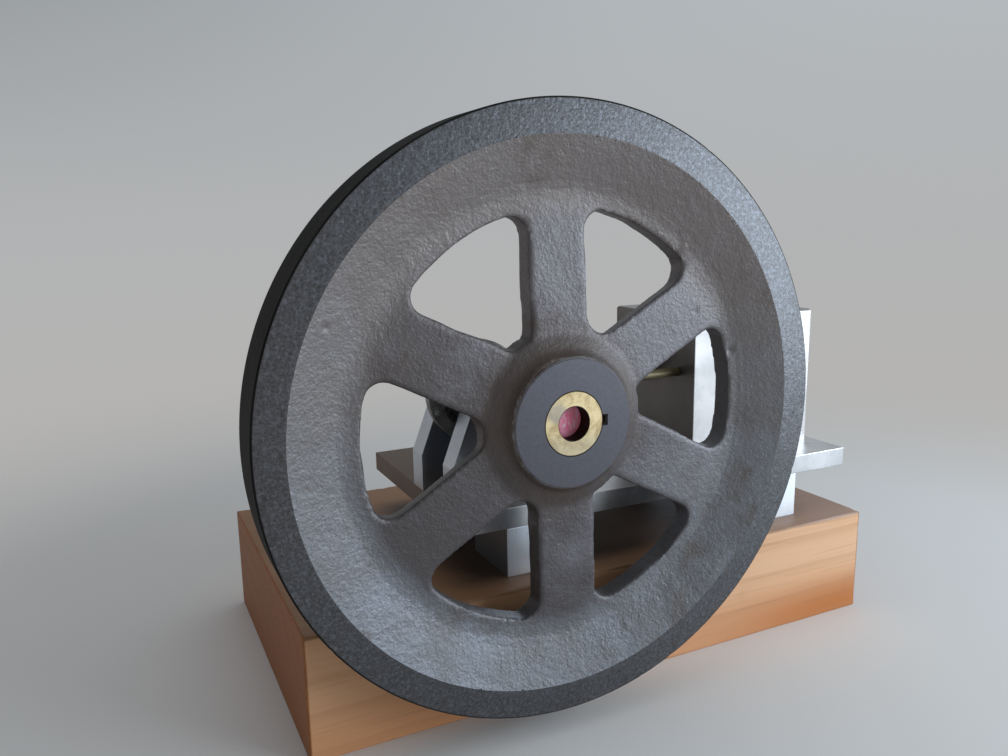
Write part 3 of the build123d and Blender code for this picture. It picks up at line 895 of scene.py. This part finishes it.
def strap_screw():
    """A slotted screw in a dark collar, on the near face of the eccentric strap."""
    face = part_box("eccentric_strap")[0].y
    centre = Vector((SCREW_X * MM, face, SCREW_Z * MM))
    around = np.linspace(0, 2 * math.pi, 32, endpoint=False)
    hole = SCREW_R + COLLAR_GAP
    collar = [(COLLAR_R, 0.0), (COLLAR_R, 0.15 - COLLAR_RISE), (COLLAR_R - 0.2, -COLLAR_RISE),
              (hole + 0.3, -COLLAR_RISE), (hole, -0.1), (hole, 0.0)]
    turned("strap_screw_collar", around, collar, centre, ECCENTRIC_BODY, "dark_steel")

    slot = math.asin(SCREW_SLOT / SCREW_R)
    mesh = bpy.data.meshes.new("strap_screw")
    with opened(mesh) as bm:
        stack(bm, [screw_loop(centre, around, 1.0, 0.0), screw_loop(centre, around, 1.0, SCREW_FLOOR)])
        for start in (0.0, math.pi):
            half = np.linspace(start + slot, start + math.pi - slot, 17)
            stack(bm, [screw_loop(centre, half, 1.0, SCREW_FLOOR - 0.02),
                       screw_loop(centre, half, 1.0, SCREW_RISE - 0.1),
                       screw_loop(centre, half, 0.82, SCREW_RISE)])
        bmesh.ops.recalc_face_normals(bm, faces=bm.faces[:])
    link("strap_screw", mesh, ECCENTRIC_BODY, "rod_steel")


def side_grid(bm, axis, level, first, second):
    """One side of a box: faces across an axis, on two rows of lines."""
    one, across = first
    two, along = second
    rows = []
    for u in across:
        row = []
        for v in along:
            point = [0.0, 0.0, 0.0]
            point[axis], point[one], point[two] = level, u, v
            row.append(bm.verts.new(point))
        rows.append(row)
    for row, after in zip(rows, rows[1:]):
        for j in range(len(row) - 1):
            bm.faces.new((row[j], after[j], after[j + 1], row[j + 1]))


def box_grid(low, high, inset, pitch):
    """A box's skin as a grid that is finer near its edges; all lengths in millimetres."""
    lines = []
    for a, b in zip(low, high):
        count = max(2, round((b - a - 2 * inset[-1]) / pitch))
        inner = np.linspace(a + inset[-1], b - inset[-1], count + 1)
        near = [a + gap for gap in inset[:-1]]
        far = [b - gap for gap in reversed(inset[:-1])]
        lines.append(np.concatenate([near, inner, far]))
    mesh = bpy.data.meshes.new("box_grid")
    with opened(mesh) as bm:
        for axis in range(3):
            one, two = [i for i in range(3) if i != axis]
            for level in (low[axis], high[axis]):
                side_grid(bm, axis, level, (one, lines[one]), (two, lines[two]))
        bmesh.ops.remove_doubles(bm, verts=bm.verts[:], dist=0.01)
        bmesh.ops.recalc_face_normals(bm, faces=bm.faces[:])
    return mesh


def worn_base():
    """The timber base with its edges rubbed round and chipped."""
    low, high = (np.array(corner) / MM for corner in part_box("timber_base"))
    mesh = box_grid(low, high, BASE_ROWS, BASE_PITCH)
    place = columns(mesh.vertices, "co")
    edge = 0.5 + 0.3 * rough_field(place * MM, 20, 8)
    chips = step(rough_field(place * MM, 7, 4), 0.02, 0.40)
    chips *= 0.6 + 0.4 * rough_field(place * MM, 2.5, 5)
    chips *= step(place[:, 2], 3.0, 8.0)
    edge = (edge + 1.5 * chips)[:, None]
    core = np.clip(place, low + edge, high - edge)
    out = place - core
    length = np.maximum(np.linalg.norm(out, axis=1, keepdims=True), 1e-6)
    place = core + out / length * np.minimum(edge, length)
    mesh.vertices.foreach_set("co", (place * MM).ravel())
    mesh.update()
    mesh.shade_smooth()
    mesh.set_sharp_from_angle(angle=math.radians(40))
    base = link("worn_timber_base", mesh, FRAME_BODY, "timber")
    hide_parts("timber_base")


def dress(node, slot):
    """Gives a CAD node its finish, with its sharp edges broken by a small round."""
    obj = NODES[node]
    for item in obj.material_slots:
        item.material = MATERIALS[slot]
    if slot in EDGES:
        weld = obj.modifiers.new("weld", "WELD")
        weld.merge_threshold = 0.002 * MM
        broken = obj.modifiers.new("broken_edges", "BEVEL")
        broken.width = EDGES[slot] * MM
        broken.segments = 2
        broken.limit_method = "ANGLE"
        broken.angle_limit = math.radians(35)
        broken.harden_normals = True


def floor():
    """A wide pale floor that fades into the backdrop."""
    mesh = bpy.data.meshes.new("floor")
    with opened(mesh) as bm:
        bmesh.ops.create_circle(bm, cap_ends=True, segments=96, radius=FLOOR_R)
    g = material("floor")
    colour = g.mix(g.noise(3.0, 2.0), (0.80, 0.785, 0.77), (0.84, 0.825, 0.81))
    g.set(Base_Color=colour, Roughness=0.8)
    fade = g.add("ShaderNodeMixShader")
    away = g.vector("LENGTH", g.stretch(1, 1, 0))
    g.put(fade.inputs[0], g.span(g.math("DIVIDE", 1.0, away), 3.8, 1.3))
    g.put(fade.inputs[1], g.tree.nodes["Principled BSDF"].outputs[0])
    g.put(fade.inputs[2], g.add("ShaderNodeBsdfTransparent").outputs[0])
    g.put(g.tree.nodes["Material Output"].inputs["Surface"], fade.outputs[0])
    mesh.materials.append(g.owner)
    obj = bpy.data.objects.new("floor", mesh)
    bpy.context.scene.collection.objects.link(obj)


def lamp(name, at, aim, size, power, colour):
    """A rectangular soft light, aimed at a point."""
    data = bpy.data.lights.new(name, "AREA")
    data.shape = "RECTANGLE"
    data.size, data.size_y = size
    data.energy = power
    data.color = colour
    obj = bpy.data.objects.new(name, data)
    obj.location = at
    obj.rotation_euler = (Vector(aim) - Vector(at)).to_track_quat("-Z", "Y").to_euler()
    bpy.context.scene.collection.objects.link(obj)


def sky():
    """A pale room, lighter on the right than on the left, above a pale ground."""
    world = bpy.data.worlds.new("studio")
    g = Graph(world)
    way = g.add("ShaderNodeTexCoord").outputs["Generated"]
    side = g.vector("DOT_PRODUCT", way, (1.0, 0.0, 0.0))
    tall = g.vector("DOT_PRODUCT", way, (0.0, 0.0, 1.0))
    shade = world.node_tree.nodes["Background"]
    colour = g.mix(g.span(tall, -0.3, 0.3), (0.99, 0.97, 0.95), (0.90, 0.955, 1.0))
    g.put(shade.inputs["Color"], colour)
    room = g.span(side, -0.60, 0.90, 0.22, 0.54)
    g.put(shade.inputs["Strength"], g.blend(g.span(tall, -0.05, 0.40), 0.47, room))
    bpy.context.scene.world = world


def camera():
    """The photograph's camera."""
    data = bpy.data.cameras.new("camera")
    data.lens = CAMERA_LENS
    data.sensor_fit = "HORIZONTAL"
    data.clip_start = 0.01
    obj = bpy.data.objects.new("camera", data)
    turn = Matrix.Rotation(math.radians(-CAMERA_HEADING), 4, "Z")
    tilt = Matrix.Rotation(math.radians(90 + CAMERA_TILT), 4, "X")
    roll = Matrix.Rotation(math.radians(CAMERA_ROLL), 4, "Z")
    obj.matrix_world = Matrix.Translation(CAMERA_AT) @ turn @ tilt @ roll
    bpy.context.scene.collection.objects.link(obj)
    bpy.context.scene.camera = obj


for part in frame["record"]["subparts"]:
    dress(part["node"], part["material_slot"])
cast_wheel()
turned_rim()
turned_hub("turned_hub_front", -1)
turned_hub("turned_hub_back", 1)
worn_base()
strap_screw()

floor()
sky()
lamp("window", at=(0.62, -0.56, 0.24), aim=(0, -0.04, 0.09), size=(0.70, 0.5), power=6.3,
     colour=(0.76, 0.89, 1.0))
lamp("overhead", at=(-0.15, -0.15, 1.3), aim=(0, 0, 0.05), size=(0.8, 0.8), power=1.0,
     colour=(1.0, 0.98, 0.96))
camera()
bpy.context.scene.view_settings.view_transform = "Standard"
